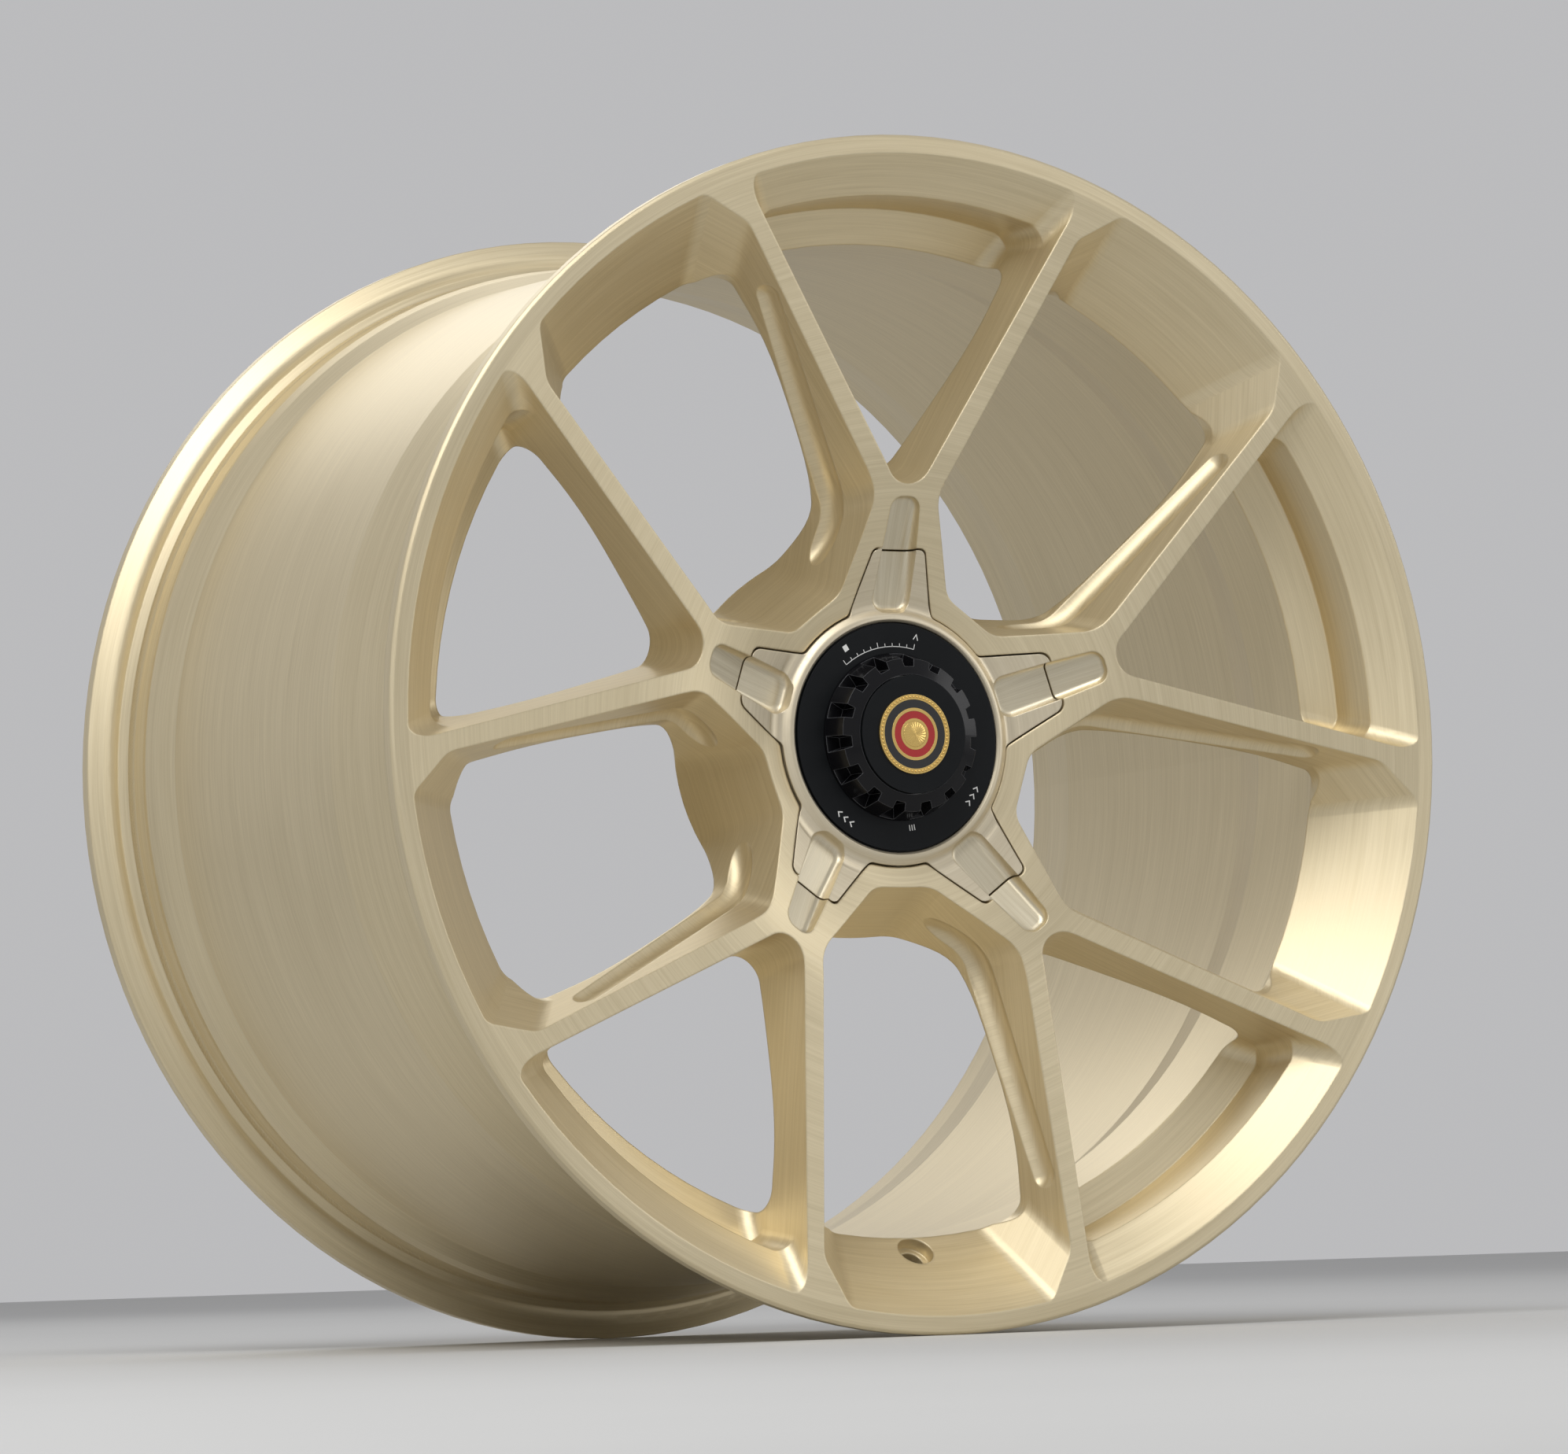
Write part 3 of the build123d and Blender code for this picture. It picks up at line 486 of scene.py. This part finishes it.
def rosette(shape):
    """Low domed rosette with pointed rays, in the middle of the medallion."""
    around = RAYS * 2
    middle = shape.verts.new((0, medal_y - ROSETTE_HEIGHT, 0))
    last = None
    for step in range(1, ROSETTE_RINGS + 1):
        share = step / ROSETTE_RINGS
        row = []
        for k in range(around):
            ridge = VALLEY if k % 2 else 1.0
            lift = ROSETTE_HEIGHT * (1 - share * share) * (ridge + (1 - ridge) * (1 - share))
            p = polar(ROSETTE_R * share, 360 / around * k)
            row.append(shape.verts.new((p.x, medal_y - lift, p.z)))
        for k in range(around):
            n = (k + 1) % around
            if last is None:
                shape.faces.new((middle, row[k], row[n]))
            else:
                shape.faces.new((last[k], row[k], row[n], last[n]))
        last = row
    foot = [shape.verts.new((v.co.x, medal_y, v.co.z)) for v in last]
    for k in range(around):
        n = (k + 1) % around
        shape.faces.new((last[k], foot[k], foot[n], last[n]))
    shape.faces.new(foot)


add_piece("medallion_beads", beaded_rim, MEDAL, "cap", smooth=True)
add_piece("medallion_rosette", rosette, MEDAL, "cap")


# ---------------------------------------------------------------- knurling on the rear bead seat
rear_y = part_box("wheel")[1].y
SEAT_Y = rear_y - 13.15 * MM  # where the bead seat meets the rear flange
SEAT_R = 266.5 * MM
SEAT_SLOPE = 1.6 / 19.0
KNURL_FROM, KNURL_TO = rear_y - 23.5 * MM, rear_y - 16.5 * MM
RIDGES, COLUMNS = 900, 4
SLANT = 1.2  # half pitches that a ridge moves round from one column to the next
RIDGE_LIFT, VALLEY_LIFT, EDGE_LIFT = 0.38 * MM, 0.02 * MM, -0.05 * MM


def knurl(shape):
    """Band of fine slanting ridges that keeps the tyre from creeping."""
    around = RIDGES * 2
    rows = []
    for c in range(COLUMNS + 1):
        y = KNURL_FROM + (KNURL_TO - KNURL_FROM) * c / COLUMNS
        seat = SEAT_R - (SEAT_Y - y) * SEAT_SLOPE
        row = []
        for k in range(around):
            lift = RIDGE_LIFT if k % 2 else VALLEY_LIFT
            if c in (0, COLUMNS):
                lift = EDGE_LIFT
            p = polar(seat + lift, 360 / around * (k + SLANT * c))
            row.append(shape.verts.new((p.x, y, p.z)))
        rows.append(row)
    for near, far in zip(rows, rows[1:]):
        for k in range(around):
            n = (k + 1) % around
            shape.faces.new((near[k], near[n], far[n], far[k]))


add_piece("bead_knurl", knurl, GOLD, "wheel")


# ---------------------------------------------------------------- floor, light, camera
FLOOR_REACH = 9.0
floor_z = cad_bounds[0].z
floor_paint = Recipe("floor_paint", (0.62, 0.62, 0.61), 0.0, 0.65)
floor_paint.tint(floor_paint.noise(floor_paint.coords.outputs["Object"], scale=3, detail=3),
                 (0.98, 0.98, 0.98), (1.02, 1.02, 1.02))
corners = [(x * FLOOR_REACH, y * FLOOR_REACH, floor_z)
           for x, y in ((-1, -1), (1, -1), (1, 1), (-1, 1))]
floor_mesh = bpy.data.meshes.new("floor")
floor_mesh.from_pydata(corners, [], [(0, 1, 2, 3)])
floor_mesh.materials.append(floor_paint.material)
floor = bpy.data.objects.new("floor", floor_mesh)
bpy.context.scene.collection.objects.link(floor)


def softbox(name, place, size, power):
    """Square area light that looks at the wheel's middle."""
    lamp = bpy.data.lights.new(name, "AREA")
    lamp.size = size
    lamp.energy = power
    box = bpy.data.objects.new(name, lamp)
    box.location = place
    box.rotation_euler = (-Vector(place)).to_track_quat("-Z", "Y").to_euler()
    bpy.context.scene.collection.objects.link(box)


softbox("key_light", (-1.3, -1.6, 2.3), size=1.9, power=49)
softbox("front_light", (3.2, -2.2, 1.1), size=1.6, power=15)
softbox("back_light", (0.4, 2.6, 2.1), size=1.7, power=13)

# camera, glossy and transmission rays see the backdrop, and all else is lit by the dimmer fill
BACKDROP = (0.50, 0.50, 0.51)
FILL = (0.40, 0.40, 0.41)

world = bpy.data.worlds.new("studio")
bpy.context.scene.world = world
world.use_nodes = True
air = world.node_tree
backdrop = air.nodes["Background"]
backdrop.inputs["Color"].default_value = (*BACKDROP, 1)
backdrop.inputs["Strength"].default_value = 1.0
fill = air.nodes.new("ShaderNodeBackground")
fill.inputs["Color"].default_value = (*FILL, 1)
path = air.nodes.new("ShaderNodeLightPath")
seen = path.outputs["Is Camera Ray"]
for ray in ("Is Glossy Ray", "Is Transmission Ray"):
    either = air.nodes.new("ShaderNodeMath")
    either.operation = "MAXIMUM"
    air.links.new(seen, either.inputs[0])
    air.links.new(path.outputs[ray], either.inputs[1])
    seen = either.outputs[0]
mix = air.nodes.new("ShaderNodeMixShader")
for source, socket in zip((seen, fill.outputs[0], backdrop.outputs[0]), mix.inputs):
    air.links.new(source, socket)
air.links.new(mix.outputs[0], air.nodes["World Output"].inputs[0])

CAMERA_PLACE = (-1.5977, -2.9162, -0.2457)
CAMERA_TURN = (94.507, 1.779, -28.843)  # degrees about X, Y and Z
lens = bpy.data.cameras.new("camera")
lens.lens = 154.6
lens.sensor_width = 36.0
lens.clip_start = 0.1
lens.clip_end = 100.0
camera = bpy.data.objects.new("camera", lens)
camera.location = CAMERA_PLACE
camera.rotation_euler = [math.radians(a) for a in CAMERA_TURN]
bpy.context.scene.collection.objects.link(camera)
bpy.context.scene.camera = camera
bpy.context.scene.view_settings.view_transform = "Standard"
